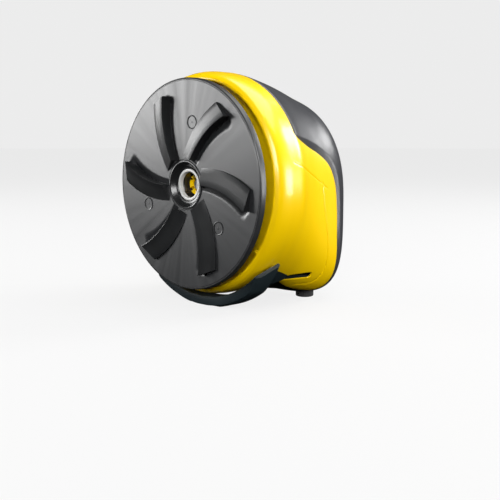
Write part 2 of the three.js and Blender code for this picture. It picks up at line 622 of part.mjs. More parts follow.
// A pan-head screw along Y whose head rises backwards (facing 1) or forwards (-1) from "seat".
function screw(x, z, seat, radius, length, facing = 1) {
  const height = 1.4 * radius;
  const head = turned([[0, 0], [2 * radius, 0], [2 * radius, 0.6 * height],
    [1.5 * radius, height], [0, height]], 12);
  const shank = rodY(radius, [-length, 0.5], 0, 0, 8);
  const arm = 1.3 * radius;
  const drive = [[arm, 0.35], [0.35, arm]].map(([u, v]) =>
    block([-u, u], [0.5 * height, height + 1], [-v, v]),
  );
  const made = less(sum(head, shank), ...drive);
  return (facing > 0 ? made : made.mirror([0, 1, 0])).translate(x, seat, z);
}

// Electrical pieces --------------------------------------------------------------------------

function cell(depth, height) {
  const can = rodX(CELL.radius, [-CELL.half, CELL.half - 1], depth, height, 28);
  return can.add(rodX(3, [CELL.half - 1.2, CELL.half], depth, height, 16));
}

// A cradle along X, with a trough for each cell, standing off the back of the cells.
function cellHolder() {
  const [[, y0, z0], [, y1, z1]] = CELLS;
  const slope = Math.atan2(z1 - z0, y1 - y0);
  const down = [Math.sin(slope), -Math.cos(slope)];
  const reach = (y, z, ahead, out) => [
    y + ahead * Math.cos(slope) + out * down[0],
    z + ahead * Math.sin(slope) + out * down[1],
  ];
  const outline = [reach(y0, z0, -6, 3), reach(y0, z0, -6, 12), reach(y1, z1, 6, 12),
    reach(y1, z1, 6, 3)];
  const cradle = across(outline, [-24, 24]);
  const troughs = CELLS.map(([, y, z]) => rodX(CELL.radius + GAP, [-40, 40], y, z, 28));
  return less(cradle, ...troughs);
}

// The metal strip that joins the two cells in series, welded across their left ends.
function cellStrap() {
  const [[, y0, z0], [, y1, z1]] = CELLS;
  const strip = [[y0 - 3, z0 - 2.6], [y0 + 3, z0 + 2.6], [y1 + 3, z1 + 2.6], [y1 - 3, z1 - 2.6]];
  return across(strip, [-CELL.half - 0.6, -CELL.half - GAP]);
}

const LEAD_RADIUS = 0.7;

// Insulated leads, from a cell's right end or a motor tag to the front of the board.
const LEADS = {
  battery_lead_positive: [[33.8, 64, 34], [34, 66, 26], [34.3, 74, 12], [31, 84, 5], [18, 91.6, 1]],
  battery_lead_negative: [[33.8, 78.5, 18], [34.3, 83, 11], [31.5, 88, 6.5], [25, 91.6, 2.4]],
  motor_lead_right: [[8, 86.6, -37.5], [8.4, 89.2, -35.5], [8, 90.6, -31], [7, 91.8, -27]],
  motor_lead_left: [[-8, 86.6, -37.5], [-8.4, 89.2, -35.5], [-8, 90.6, -31], [-7, 91.8, -27]],
};

function lead(points) {
  const section = new THREE.Shape();
  section.absarc(0, 0, LEAD_RADIUS, 0, 2 * Math.PI);
  const extrudePath = new THREE.CatmullRomCurve3(points.map((at) => new THREE.Vector3(...at)));
  const settings = { extrudePath, steps: 10, curveSegments: 3, bevelEnabled: false };
  return solid(new THREE.ExtrudeGeometry(section, settings));
}

const controlBoard = () => sum(
  block([-26, 26], BOARD_DEPTH, [-30, 4]),
  block([-20, -8], [BOARD_DEPTH[0] - 2.5, BOARD_DEPTH[1]], [-28, -16]),
  block([10, 18], [BOARD_DEPTH[0] - 4, BOARD_DEPTH[1]], [-26, -18]),
);

const buttonSwitch = () => sum(
  block([-3, 3], [BOARD_DEPTH[1] + GAP, BOARD_DEPTH[1] + 2.2], [BUTTON.height - 3, BUTTON.height + 3]),
  rodY(1.6, [BOARD_DEPTH[1] + 1, BOARD_DEPTH[1] + 2.9], 0, BUTTON.height, 16),
);

const statusLens = () =>
  turned([[0, 97], [3, 97], [3, 98.4], [LENS.radius, 98.4], [LENS.radius, 103.2], [1.2, 103.7],
    [0, 103.8]], 20, 0, LENS.height);

function chargeSocket() {
  const body = block([-5, 5], [86, 95.9], [SOCKET.height - 5.5, SOCKET.height + 5]);
  const collar = rodY(3.6, [95, 99.8], 0, SOCKET.height, 24);
  const bore = rodY(2.6, [88, 101], 0, SOCKET.height, 20);
  return sum(less(sum(body, collar), bore), rodY(0.8, [87, 98], 0, SOCKET.height, 12));
}

// A rubber flap hinged along its top edge, with a short plug for the socket's mouth.
function socketCover() {
  const [inner, outer] = FLAP.depth;
  const leaf = block([-FLAP.half, FLAP.half], [inner, outer], [FLAP.bottom, FLAP.top - 0.7]);
  const barrel = rodX(0.75, [-FLAP.half, FLAP.half], (inner + outer) / 2, FLAP.top, 16);
  const neck = block([-FLAP.half, FLAP.half], [inner + 0.2, outer - 0.2], [FLAP.top - 1, FLAP.top]);
  const plug = rodY(2.4, [inner - 1.2, inner + 0.5], 0, SOCKET.height, 20);
  const tab = block([-3, 3], [inner, outer], [FLAP.bottom - 0.4, FLAP.bottom + 1]);
  return sum(leaf, barrel, neck, plug, tab);
}

// Button and its return spring ---------------------------------------------------------------

function powerButton() {
  const top = REAR_DEPTH + BUTTON_PROUD;
  const cap = turned([[0, 98.6], [BUTTON.radius, 98.6], [BUTTON.radius, top - 1.2],
    [BUTTON.radius - 1.2, top], [7.2, top], [0, top - 0.9]], 40, 0, BUTTON.height);
  const flange = rodY(BUTTON.flange, [98.6, 100], 0, BUTTON.height, 40);
  const stem = rodY(2, [BOARD_DEPTH[1] + 4.6, 99], 0, BUTTON.height, 20);
  return sum(cap, flange, stem);
}

const BUTTON_SPRING = { radius: 6, start: 96.6, rise: 0.055, wire: 0.35, turns: 2, steps: 12 };

function buttonSpring() {
  const { radius, start, rise, wire, turns, steps } = BUTTON_SPRING;
  const points = [];
  for (let i = 0; i <= turns * steps; i += 1) {
    const angle = (2 * Math.PI * i) / steps;
    const z = BUTTON.height + radius * Math.sin(angle);
    points.push(new THREE.Vector3(radius * Math.cos(angle), start + i * rise, z));
  }
  return spring(points, wire);
}

function leverSwitch() {
  const body = block([37, 41.5], [50, 60], [-54, -48.5]);
  return body.add(block([38.5, 40.5], [57, 59], [-56, -53.5]));
}

// Feet ---------------------------------------------------------------------------------------

function rubberFoot(side) {
  const pad = rodZ(FOOT.radius, [FLOOR, -60], side * FOOT.x, FOOT.depth, 28);
  return less(pad, bodyBetween(2, LAST, -GAP));
}

// Assembly -----------------------------------------------------------------------------------

const finish = (color, roughness, metalness = 0) =>
  new THREE.MeshStandardMaterial({ color, roughness, metalness });
const yellowPlastic = finish(0xffdd00, 0.35);
const coverPlastic = finish(0x3a3b3e, 0.45);
const blackPlastic = finish(0x141517, 0.5);
const discPlastic = finish(0x2a2b2d, 0.4);
const whitePlastic = finish(0xd8d8d4, 0.5);
const rubber = finish(0x1a1a1a, 0.85);
const steel = finish(0xb8bbc0, 0.3, 1);
const castSteel = finish(0xd0d2d4, 0.35, 0.9);
const bronze = finish(0xb08040, 0.4, 1);
const cellWrap = finish(0x2f6fb0, 0.4);
const boardGreen = finish(0x1d5a34, 0.6);
const leadCover = finish(0xa01818, 0.5);
const lensClear = finish(0xe8f4ff, 0.1);

const tool = new THREE.Group();
tool.position.set(0, -(REAR_DEPTH + BUTTON_PROUD - BLADE_HEIGHT) / 2, -FLOOR);

function add(name, made, material) {
  const piece = new THREE.Mesh(geometryOf(made), material);
  piece.name = name;
  tool.add(piece);
}

add("front_housing", frontHousing(), yellowPlastic);
add("rear_cover", rearCover(), coverPlastic);
add("scraper_disc", scraperDisc(), discPlastic);
add("disc_hub_sleeve", hubSleeve(), castSteel);
add("drive_dog", driveDog(), yellowPlastic);
add("drive_spindle", driveSpindle(), steel);
add("spindle_seal", spindleSeal(), rubber);
add("front_bearing", frontBearing(), steel);
add("rear_bush", rearBush(), bronze);
add("output_gear", outputGear(), whitePlastic);
add("spindle_circlip", circlip(), steel);
add("motor_pinion", motorPinion(), bronze);
add("motor_shaft", motorShaft(), steel);
add("motor_can", motorCan(), castSteel);
add("motor_end_bell", motorEndBell(), blackPlastic);
add("gear_case", gearCase(), blackPlastic);
add("cell_holder", cellHolder(), blackPlastic);
add("control_board", controlBoard(), boardGreen);
add("button_switch", buttonSwitch(), blackPlastic);
add("power_button", powerButton(), blackPlastic);
add("button_spring", buttonSpring(), steel);
add("status_lens", statusLens(), lensClear);
add("charge_socket", chargeSocket(), blackPlastic);
add("socket_cover", socketCover(), rubber);
add("start_lever", startLever(), blackPlastic);
add("lever_switch", leverSwitch(), blackPlastic);
CELLS.forEach(([place, y, z]) => add(`cell_${place}`, cell(y, z), cellWrap));
add("cell_strap", cellStrap(), steel);
Object.entries(LEADS).forEach(([name, points]) => add(name, lead(points), leadCover));
SIDES.forEach(([name, side]) => {
  add(`lever_pin_${name}`, leverPin(side), steel);
  add(`lever_spring_${name}`, leverSpring(side), steel);
  add(`rear_foot_${name}`, rubberFoot(side), rubber);
});
POSTS.forEach(([x, z], i) => {
  const made = screw(x, z, WELL.floor + GAP, COVER_SCREW.radius, COVER_SCREW.length);
  add(`cover_screw_${i + 1}`, made, steel);
});
EARS.forEach(([x, z], i) => {
  const made = screw(x, z, CASE_DEPTH[1] + GAP, CASE_SCREW.radius, CASE_SCREW.length);
  add(`case_screw_${i + 1}`, made, steel);
});
motorScrewPlaces().forEach(([x, z], i) => {
  const made = screw(x, z, MOTOR_SCREW.seat, MOTOR_SCREW.radius, MOTOR_SCREW.length, -1);
  add(`motor_screw_${i + 1}`, made, steel);
});

export default tool;
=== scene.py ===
import math

import bmesh
import bpy
import numpy as np
from mathutils import Matrix, Vector


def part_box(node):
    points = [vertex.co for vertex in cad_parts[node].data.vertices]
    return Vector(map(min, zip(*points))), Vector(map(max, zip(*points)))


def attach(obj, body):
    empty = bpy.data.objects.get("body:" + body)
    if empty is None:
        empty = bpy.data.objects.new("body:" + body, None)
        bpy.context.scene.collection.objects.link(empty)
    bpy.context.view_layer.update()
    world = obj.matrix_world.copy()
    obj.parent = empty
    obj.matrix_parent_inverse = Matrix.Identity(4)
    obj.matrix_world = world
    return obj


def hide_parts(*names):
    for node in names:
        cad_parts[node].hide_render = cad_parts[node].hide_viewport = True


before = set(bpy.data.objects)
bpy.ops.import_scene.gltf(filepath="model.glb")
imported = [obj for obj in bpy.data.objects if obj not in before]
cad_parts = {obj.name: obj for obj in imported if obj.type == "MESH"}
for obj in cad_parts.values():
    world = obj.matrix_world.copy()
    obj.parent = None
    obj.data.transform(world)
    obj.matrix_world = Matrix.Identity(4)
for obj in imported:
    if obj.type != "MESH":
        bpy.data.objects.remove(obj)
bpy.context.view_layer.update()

# Front housing: the glossy yellow ABS moulding that carries the bearing. It is a short collar
# round the disc with a cheek running back on each side, moulded in one with the recess wall
# and the bulkhead behind the disc. Its edges against the cover are broken by a small radius.
MM = 0.001
BLADE_HEIGHT = 4.6
disc_low, disc_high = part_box("scraper_disc")
SPINDLE_HEIGHT = (disc_low.z + disc_high.z) / 2
DISC_FACE = disc_low.y + BLADE_HEIGHT * MM

BODY_SECTIONS = (
    (10.7, 66.0, 66.0, -66.0, 0, 2, 2),
    (12.3, 67.8, 67.8, -67.8, 0, 2, 2),
    (15.5, 69.1, 69.1, -69.1, 0, 2, 2),
    (21.0, 69.8, 69.8, -69.8, 0, 2, 2),
    (30.6, 69.7, 69.7, -69.7, 0, 2, 2),
    (40, 66, 67.9, -69.4, -2, 2.1, 2.2),
    (52, 62, 64.2, -70.2, -5, 2.3, 2.5),
    (65, 59.6, 59, -72.4, -8.5, 2.5, 3.2),
    (78, 57.8, 53.4, -74.2, -11.5, 2.75, 4.1),
    (88, 54, 45, -72.6, -13, 2.75, 4.2),
    (96, 47.5, 34.2, -67, -15, 2.6, 3.6),
    (101, 39.5, 22, -58, -17, 2.3, 2.9),
    (103.6, 30, 10, -47, -18, 2.1, 2.3),
    (104.2, 25, 4, -40, -18, 2, 2),
)
RIM_DEPTH = BODY_SECTIONS[0][0]
WIDEST = 69.8  # neither the half width nor the top goes past this
ROWS_PER_SECTION = 7
AROUND = 240
CAP_ROWS = 8
SEAM_DEPTH = 30.6
SEAM_GAP = 0.4
SHELL_WALL = 1.6 * MM
REACH = 90.0
FARTHEST_CUT = 6.0
CHEEK_EDGE = (
    (33, 28.6), (44.7, 23.7), (57.8, 19), (68.5, 12), (74.5, 0), (77, -16), (78, -34), (80.2, -52),
    (80, -64), (75.5, -70.3), (67, -70), (59.3, -67.7), (50.5, -63.9), (38.2, -57.6), (31.2, -52.6),
)
LEVER_NOTCH = (
    (22.98, -48.73), (30.43, -51.92), (37.99, -54.54), (38.86, -58.19), (31.08, -60.7), (22.98, -60.7),
)
LEVER_SLOT = ((33, -56.6), (41.6, -57.9), (62.4, -55.7), (62.8, -59.5), (48, -60.5), (33, -60.2))
PANEL_LINES = (
    ((24.0, 14.6), (28.6, 12.8), (41, 8.2), (53.6, 3.2), (66, -2.6)),
    ((59.5, 2.5), (62.5, -15.7), (66.6, -32), (69.7, -48.2), (69.5, -58), (66.2, -63.9), (58, -64.6)),
)
PANEL_STOPS, PANEL_DROPS = (-0.7, -0.35, 0, 0.35, 0.7), (0, 0.1, 0.3, 0.1, 0)
SEAM_STOPS, SEAM_DROPS = (-0.6, -0.2, 0), (0, 0.12, 0.6)
SLOT_MARGIN = 0.5
LIP = ((65.5, 10.45), (64.9, 10.4), (64.3, 10.6), (64.0, 11.1), (64.0, 19.4), (63.4, 20.0), (40, 20.0),
       (19, 20.0), (17.6, 19.4), (16.9, 19.4), (16.4, 20), (10.5, 20.0), (9.9, 20.5), (9.9, 24.0))


def at(x, depth, height):
    """A place from millimetres across, behind the disc's face and above the spindle."""
    return Vector((x * MM, DISC_FACE + depth * MM, SPINDLE_HEIGHT + height * MM))


def sizes_of(bm):
    """Across, depth and height of every vertex in millimetres, as three arrays."""
    places = np.array([v.co for v in bm.verts]) / MM
    return places[:, 0], places[:, 1] - DISC_FACE / MM, places[:, 2] - SPINDLE_HEIGHT / MM


def smooth_through(points, steps):
    """A Catmull-Rom curve through every point, the same number of steps between each two."""
    given = np.array(points, float)
    padded = np.vstack([2 * given[0] - given[1], given, 2 * given[-1] - given[-2]])
    place = np.linspace(0, len(given) - 1, steps * (len(given) - 1) + 1)
    index = np.minimum(place.astype(int), len(given) - 2)
    t = (place - index)[:, None]
    a, b, c, d = (padded[index + k] for k in range(4))
    bend = (2 * a - 5 * b + 4 * c - d) * t**2 + (3 * b - a - 3 * c + d) * t**3
    return (2 * b + (c - a) * t + bend) / 2


body_rows = smooth_through(BODY_SECTIONS, ROWS_PER_SECTION)
body_rows[:, 1:3] = np.minimum(body_rows[:, 1:3], WIDEST)


def ring_outline(row, count):
    """Evenly spaced points round one section of the body, starting under the middle."""
    _, half, top, bottom, waist, upper, lower = row
    angle = np.linspace(-math.pi / 2, 1.5 * math.pi, 2401)
    c, s = np.cos(angle), np.sin(angle)
    power = np.where(s > 0, 2 / upper, 2 / lower)
    reach = np.where(s > 0, top - waist, waist - bottom)
    x = half * np.sign(c) * np.abs(c) ** power
    z = waist + reach * np.sign(s) * np.abs(s) ** power
    run = np.concatenate([[0], np.cumsum(np.hypot(np.diff(x), np.diff(z)))])
    even = np.linspace(0, run[-1], count + 1)
    return np.interp(even, run, x), np.interp(even, run, z)


def skin_across(depth, height):
    """How far out the body's side stands at a depth and a height."""
    half, top, bottom, waist, upper, lower = (
        np.interp(depth, body_rows[:, 0], body_rows[:, k]) for k in range(1, 7)
    )
    reach, power = (top - waist, upper) if height > waist else (waist - bottom, lower)
    return half * max(0.0, 1 - abs((height - waist) / reach) ** power) ** (1 / power)


def body_skin():
    """The whole outer skin of the body, open at the front: a grid rolled round the sections."""
    bm = bmesh.new()
    along = len(body_rows) - 1 + CAP_ROWS
    bmesh.ops.create_grid(bm, x_segments=AROUND, y_segments=along, size=1)
    outlines = [ring_outline(row, AROUND) for row in body_rows]
    for v in bm.verts:
        column = round((v.co.x + 1) / 2 * AROUND)
        row = round((v.co.y + 1) / 2 * along)
        last = min(row, len(body_rows) - 1)
        shrink = 1 - (row - last) / CAP_ROWS
        xs, zs = outlines[last]
        waist = body_rows[last, 4]
        v.co = at(xs[column] * shrink, body_rows[last, 0], waist + (zs[column] - waist) * shrink)
    bmesh.ops.remove_doubles(bm, verts=bm.verts, dist=0.002 * MM)
    bmesh.ops.recalc_face_normals(bm, faces=bm.faces)
    rim = max(bm.faces, key=lambda face: face.calc_center_median().z)
    if rim.normal.z < 0:
        bmesh.ops.reverse_faces(bm, faces=bm.faces)
    return bm


def outline_distance(outline, u, v, closed=True):
    """Distance of the points (u, v) to an outline, negative inside a closed one."""
    start = np.array(outline, float)
    end = np.roll(start, -1, axis=0)
    if not closed:
        start, end = start[:-1], end[:-1]
    nearest = np.full(len(u), 1e9)
    inside = np.zeros(len(u), bool)
    for (u0, v0), (u1, v1) in zip(start, end):
        du, dv = u1 - u0, v1 - v0
        t = np.clip(((u - u0) * du + (v - v0) * dv) / (du * du + dv * dv), 0, 1)
        nearest = np.minimum(nearest, np.hypot(u - u0 - t * du, v - v0 - t * dv))
        if closed and v0 != v1:
            beside = u < u0 + (v - v0) / (v1 - v0) * du
            inside ^= ((v0 > v) != (v1 > v)) & beside
    return np.where(inside, -nearest, nearest)


cheek_edge = smooth_through(CHEEK_EDGE, 8)
housing_outline = [
    (-20, -REACH), (SEAM_DEPTH, -REACH), (SEAM_DEPTH, cheek_edge[-1][1] - SEAM_GAP), *cheek_edge[::-1],
    (SEAM_DEPTH, cheek_edge[0][1] + 2), (SEAM_DEPTH, REACH), (-20, REACH),
]


def seam_level(x, depth, height):
    """Distance to the seam in side view: negative on the housing, positive on the cover."""
    return outline_distance(housing_outline, depth, height)


def slot_level(x, depth, height):
    """Distance to the openings that the start lever's arms pass through."""
    notch = outline_distance(LEVER_NOTCH, depth, height)
    return np.minimum(notch, outline_distance(LEVER_SLOT, depth, height))


def panel_level(x, depth, height):
    """Distance to the fine lines moulded into each cheek, negative on their front side."""
    level = np.full(len(x), 1e9)
    for points in PANEL_LINES:
        line = smooth_through(points, 6)
        away = outline_distance(line, depth, height, closed=False)
        ends = np.searchsorted(-line[:, 1], -height).clip(1, len(line) - 1)
        (u0, v0), (u1, v1) = line[ends - 1].T, line[ends].T
        front = depth < u0 + (u1 - u0) * (height - v0) / (v1 - v0 - 1e-9)
        level = np.where(away < np.abs(level), np.where(front, -away, away), level)
    return level


def cut_along(bm, level, value):
    """Splits the faces where a level passes a value, and gives every vertex's level."""
    heights = level(*sizes_of(bm)) - value
    bm.verts.index_update()
    on_line = [v for v in bm.verts if abs(heights[v.index]) < 0.01]
    crossed = []
    for edge in bm.edges:
        a, b = (heights[v.index] for v in edge.verts)
        if a * b < 0 and min(abs(a), abs(b)) >= 0.01 and abs(a) + abs(b) < FARTHEST_CUT:
            crossed.append((edge, edge.verts[0], a / (a - b)))
    for edge, start, share in crossed:
        on_line.append(bmesh.utils.edge_split(edge, start, share)[1])
    bmesh.ops.connect_verts(bm, verts=on_line)
    bm.verts.index_update()
    return level(*sizes_of(bm))


def keep_where(bm, levels, low=-1e9, high=1e9):
    """Deletes the faces whose middle is outside the two levels."""
    bm.verts.index_update()
    gone = []
    for face in bm.faces:
        middle = sum(levels[v.index] for v in face.verts) / len(face.verts)
        if not low < middle < high:
            gone.append(face)
    bmesh.ops.delete(bm, geom=gone, context="FACES")


def sink(bm, level, stops, drops):
    """Moves each vertex in along its normal by an amount read off against its level."""
    bm.normal_update()
    bm.verts.index_update()
    levels = level(*sizes_of(bm))
    normals = [v.normal.copy() for v in bm.verts]
    for v in bm.verts:
        v.co -= normals[v.index] * float(np.interp(levels[v.index], stops, drops)) * MM


def draw_in(bm, loop, place):
    """Extrudes an open loop of edges and puts each new vertex where "place" says."""
    made = bmesh.ops.extrude_edge_only(bm, edges=loop)["geom"]
    for v in (g for g in made if isinstance(g, bmesh.types.BMVert)):
        v.co = place(v.co)
    return [g for g in made if isinstance(g, bmesh.types.BMEdge) and g.is_boundary]


def moulded(name, colour, shade, roughness, spread=0.05, mottle=60, grain=2500, depth=0.02, coat=0.0):
    """A moulded plastic: two near colours in soft clouds, uneven gloss and a fine surface grain."""
    material = bpy.data.materials.new(name)
    material.use_nodes = True
    nodes, links = material.node_tree.nodes, material.node_tree.links
    shader = nodes["Principled BSDF"]
    shader.inputs["Coat Weight"].default_value = coat
    shader.inputs["Coat Roughness"].default_value = 0.12
    place = nodes.new("ShaderNodeTexCoord")
    clouds = nodes.new("ShaderNodeTexNoise")
    clouds.inputs["Scale"].default_value = mottle
    clouds.inputs["Detail"].default_value = 4
    links.new(place.outputs["Object"], clouds.inputs["Vector"])
    mix = nodes.new("ShaderNodeMix")
    mix.data_type = "RGBA"
    mix.inputs["A"].default_value = (*shade, 1)
    mix.inputs["B"].default_value = (*colour, 1)
    links.new(clouds.outputs["Fac"], mix.inputs["Factor"])
    links.new(mix.outputs["Result"], shader.inputs["Base Color"])
    gloss = nodes.new("ShaderNodeMapRange")
    gloss.inputs["To Min"].default_value = roughness - spread
    gloss.inputs["To Max"].default_value = roughness + spread
    links.new(clouds.outputs["Fac"], gloss.inputs["Value"])
    links.new(gloss.outputs["Result"], shader.inputs["Roughness"])
    fine = nodes.new("ShaderNodeTexNoise")
    fine.inputs["Scale"].default_value = grain
    fine.inputs["Detail"].default_value = 2
    links.new(place.outputs["Object"], fine.inputs["Vector"])
    bump = nodes.new("ShaderNodeBump")
    bump.inputs["Strength"].default_value = depth
    bump.inputs["Distance"].default_value = 0.2 * MM
    links.new(fine.outputs["Fac"], bump.inputs["Height"])
    links.new(bump.outputs["Normal"], shader.inputs["Normal"])
    return material


def piece(name, bm, body, material, stands_for=(), sharp=32, wall=0.0):
    """Turns a finished mesh into a named piece that rides on a body."""
    mesh = bpy.data.meshes.new(name)
    bm.to_mesh(mesh)
    bm.free()
    mesh.shade_smooth()
    mesh.set_sharp_from_angle(angle=math.radians(sharp))
    mesh.materials.append(material)
    made = bpy.data.objects.new(name, mesh)
    bpy.context.scene.collection.objects.link(made)
    if wall:
        thick = made.modifiers.new("wall", "SOLIDIFY")
        thick.thickness = wall
        thick.offset = -1
    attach(made, body)
    if stands_for:
        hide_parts(*stands_for)
    return made


yellow_abs = moulded("yellow_abs", (0.94, 0.62, 0.0), (0.9, 0.57, 0.0), 0.3, mottle=35, depth=0.012,
                     coat=0.25)

bm = body_skin()
for value in SEAM_STOPS:
    cut_along(bm, seam_level, value)
keep_where(bm, seam_level(*sizes_of(bm)), high=0)
keep_where(bm, cut_along(bm, slot_level, 0.0), low=0)
for value in sorted(PANEL_STOPS, key=lambda stop: (abs(stop), stop)):
    cut_along(bm, panel_level, value)
cut_along(bm, slot_level, SLOT_MARGIN)
sink(bm, panel_level, PANEL_STOPS, PANEL_DROPS)
sink(bm, seam_level, SEAM_STOPS, SEAM_DROPS)
rim_y = at(0, RIM_DEPTH, 0).y
front_loop = [e for e in bm.edges if e.is_boundary and all(v.co.y - rim_y < 1e-6 for v in e.verts)]
for radius, depth in LIP:
    def on_circle(co, radius=radius, depth=depth):
        flat = Vector((co.x, 0, co.z - SPINDLE_HEIGHT)).normalized() * radius
        return at(flat.x, depth, flat.z)
    front_loop = draw_in(bm, front_loop, on_circle)
piece("housing_shell", bm, "housing", yellow_abs, ["front_housing"], wall=SHELL_WALL)

# Latch ribs: short yellow bars moulded on the recess wall, seen in the gap over the disc, and
# the low ribs that stiffen the bulkhead round the spindle.
RIB_TURNS = (82, 202, 322)
RIB_LOW, RIB_HIGH = (61.4, 11.6, -0.9), (64.6, 19.6, 0.9)
BULKHEAD_RIBS = 12
BULKHEAD_LOW, BULKHEAD_HIGH = (17.4, 18.4, -0.7), (50, 20.4, 0.7)


def soft_block(bm, low, high, edge, turn=0.0):
    """A rounded block between two corners, turned about the spindle."""
    made = bmesh.ops.create_cube(bm, size=1)["verts"]
    middle, size = (Vector(low) + Vector(high)) / 2, Vector(high) - Vector(low)
    bmesh.ops.scale(bm, vec=size, verts=made)
    bmesh.ops.translate(bm, vec=middle, verts=made)
    edges = list({e for v in made for e in v.link_edges})
    grown = bmesh.ops.bevel(bm, geom=edges, offset=edge, offset_type="OFFSET", segments=2,
                            profile=0.5, affect="EDGES", material=-1)["verts"]
    around = Matrix.Rotation(math.radians(turn), 3, (0, -1, 0))
    whole = list({*grown, *(v for v in made if v.is_valid)})
    bmesh.ops.rotate(bm, cent=(0, 0, 0), matrix=around, verts=whole)
    bmesh.ops.scale(bm, vec=(MM, MM, MM), verts=whole)
    bmesh.ops.translate(bm, vec=at(0, 0, 0), verts=whole)


bm = bmesh.new()
for turn in RIB_TURNS:
    soft_block(bm, RIB_LOW, RIB_HIGH, 0.3, turn)
for i in range(BULKHEAD_RIBS):
    soft_block(bm, BULKHEAD_LOW, BULKHEAD_HIGH, 0.25, (i + 0.5) * 360 / BULKHEAD_RIBS)
piece("recess_ribs", bm, "housing", yellow_abs, ["front_housing"])

# Rear cover: the satin dark grey shell that closes the top, the back and the bottom. Its edge
# along the seam falls away in a band that widens behind the collar. Moulded through its back
# are the holes for the button, the light and the charging socket, and four deep screw wells.
BAND_NEAR, BAND_FAR = 1.3, 4.6
BAND_START, BAND_END = 31.0, 50.0
BAND_STOPS = (0, 0.05, 0.14, 0.96, 1.04)
BAND_DROPS = (2.4, 1.95, 1.8, 0.06, 0)
SCREW_PLACES = ((40, 36), (-40, 36), (40, -28), (-40, -28))
SCREW_WELL, WELL_FLOOR = 3.5, 46.0
SHANK_SHARE = 0.52  # of the well's radius
HOLE_FLOOR, POCKET_FLOOR, SOCKET_FLOOR = 99.0, 101.0, 97.5
BUTTON_HEIGHT, BUTTON_HOLE = -13, 10.1
LENS_HEIGHT, LENS_HOLE = 8, 2.5
SOCKET_HEIGHT, SOCKET_HOLE = -42, 4.0
POCKET = ((-8.5, -49.1), (8.5, -49.1), (8.5, -33.5), (-8.5, -33.5))
BACK_ONLY = 55.0


def band_level(x, depth, height):
    """How far across the falling band a point lies: 0 at the seam, 1 at the crease."""
    share = np.clip((depth - BAND_START) / (BAND_END - BAND_START), 0, 1)
    width = BAND_NEAR + (BAND_FAR - BAND_NEAR) * share * share * (3 - 2 * share)
    return (seam_level(x, depth, height) - SEAM_GAP) / width


def sink_band(bm):
    """Lowers the cover's edge, less where the band is narrow."""
    bm.normal_update()
    bm.verts.index_update()
    x, depth, height = sizes_of(bm)
    levels = band_level(x, depth, height)
    share = np.clip((depth - BAND_START) / (BAND_END - BAND_START), 0, 1)
    normals = [v.normal.copy() for v in bm.verts]
    for v in bm.verts:
        drop = np.interp(levels[v.index], BAND_STOPS, BAND_DROPS)
        v.co -= normals[v.index] * float(drop * (0.4 + 0.6 * share[v.index])) * MM


def round_hole(across, height, radius):
    """The level of a round hole through the back of the cover."""
    def level(x, depth, z):
        return np.where(depth > BACK_ONLY, np.hypot(x - across, z - height) - radius, REACH)
    return level


def pocket_level(x, depth, height):
    return np.where(depth > BACK_ONLY, outline_distance(POCKET, x, height) - 0.5, REACH)


def sink_hole(bm, level, floor, lip=0.3):
    """Cuts a hole through the skin, rounds its lip and carries its wall in to a floor."""
    cut_along(bm, level, lip)
    keep_where(bm, cut_along(bm, level, 0.0), low=0)
    bm.verts.index_update()
    levels = level(*sizes_of(bm))
    rim = [e for e in bm.edges if e.is_boundary and all(abs(levels[v.index]) < 0.05 for v in e.verts)]
    for v in {v for e in rim for v in e.verts}:
        v.co.y -= lip * MM
    return draw_in(bm, rim, lambda co: Vector((co.x, at(0, floor, 0).y, co.z)))


dark_cover = moulded("dark_cover", (0.048, 0.049, 0.054), (0.037, 0.038, 0.042), 0.34, spread=0.04,
                     mottle=90, grain=3800, depth=0.1)
bm = body_skin()
for value in BAND_STOPS:
    cut_along(bm, band_level, value)
keep_where(bm, band_level(*sizes_of(bm)), low=0)
keep_where(bm, cut_along(bm, slot_level, 0.0), low=0)
sink_band(bm)
for across, height in SCREW_PLACES:
    floor = sink_hole(bm, round_hole(across, height, SCREW_WELL), WELL_FLOOR)

    def towards_screw(co, across=across, height=height):
        middle = at(across, WELL_FLOOR, height)
        return middle + (co - middle) * SHANK_SHARE
    draw_in(bm, floor, towards_screw)
sink_hole(bm, round_hole(0, BUTTON_HEIGHT, BUTTON_HOLE), HOLE_FLOOR)
sink_hole(bm, round_hole(0, LENS_HEIGHT, LENS_HOLE), HOLE_FLOOR)
pocket_floor = sink_hole(bm, pocket_level, POCKET_FLOOR)


def towards_socket(co):
    flat = Vector((co.x, 0, co.z - at(0, 0, SOCKET_HEIGHT).z)).normalized() * SOCKET_HOLE * MM
    return at(0, POCKET_FLOOR, SOCKET_HEIGHT) + flat


socket_rim = draw_in(bm, pocket_floor, towards_socket)
draw_in(bm, socket_rim, lambda co: Vector((co.x, at(0, SOCKET_FLOOR, 0).y, co.z)))
piece("cover_shell", bm, "housing", dark_cover, ["rear_cover"], wall=SHELL_WALL)

# Scraping disc: a black glass-filled nylon moulding, satin on its face, with a rolled edge, a
# hub that stands back to the driver and a hexagonal socket in its rear.
DISC_STEPS = 240
HEX_FLATS = 20.0
DISC_PROFILE = (
    (8.0, 12.6), (8.0, 5.7), (8.3, 5.4), (10.1, 5.4), (10.1, 2.9), (10.4, 2.5), (11.4, 2.2),
    (13.3, 0.25), (13.7, -0.2), (14.3, -0.45), (14.8, -0.4), (15.1, 0.0), (15.3, 0.35), (15.7, 0.35),
    (15.9, 0.0), *((r, 0.0) for r in np.arange(16.5, 63.2, 0.9)),
    (63.4, 0.0), (63.7, 0.25), (64.0, 0.25), (64.2, 0.05), (64.6, 0.15), (64.9, 0.45), (65.0, 0.9),
    (65.0, 3.9), (64.7, 4.3), (64.2, 4.4), (40, 4.4), (17.0, 4.4), (16.0, 5.2), (15.8, 6.0),
    (15.4, 18.6), (15.1, 19.0), (0.5, 19.0), (0.5, 12.6),
)
HEX_MARK = 0.5  # profile points at this radius are moved out onto the hexagon
